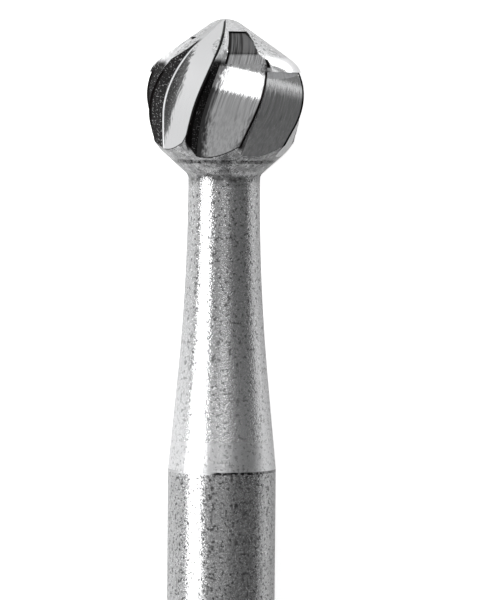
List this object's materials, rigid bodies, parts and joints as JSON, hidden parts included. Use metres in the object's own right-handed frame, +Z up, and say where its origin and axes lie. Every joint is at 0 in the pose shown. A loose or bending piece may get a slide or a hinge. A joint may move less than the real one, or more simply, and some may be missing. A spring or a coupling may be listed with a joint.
{
  "type": "carbide burr",
  "caption": "Round carbide burr: a fluted ball head on a flared neck, brazed to a straight steel shank, lying on its side.",
  "frame": {"origin": "middle of the burr's length, on the bench that it lies on", "axes": "+Y from the shank's end towards the cutting head, +Z up from the bench"},
  "size_m": [0.0022, 0.019, 0.0023],
  "materials": {
    "carbide": "satin ground tungsten carbide, with polished flutes",
    "braze": "thin film of silver braze, ground flush",
    "shank_steel": "centreless ground stainless steel, fine speckle"
  },
  "bodies": {
    "root": {"cutting_head": "carbide", "braze_joint": "braze", "shank": "shank_steel"}
  },
  "joints": []
}
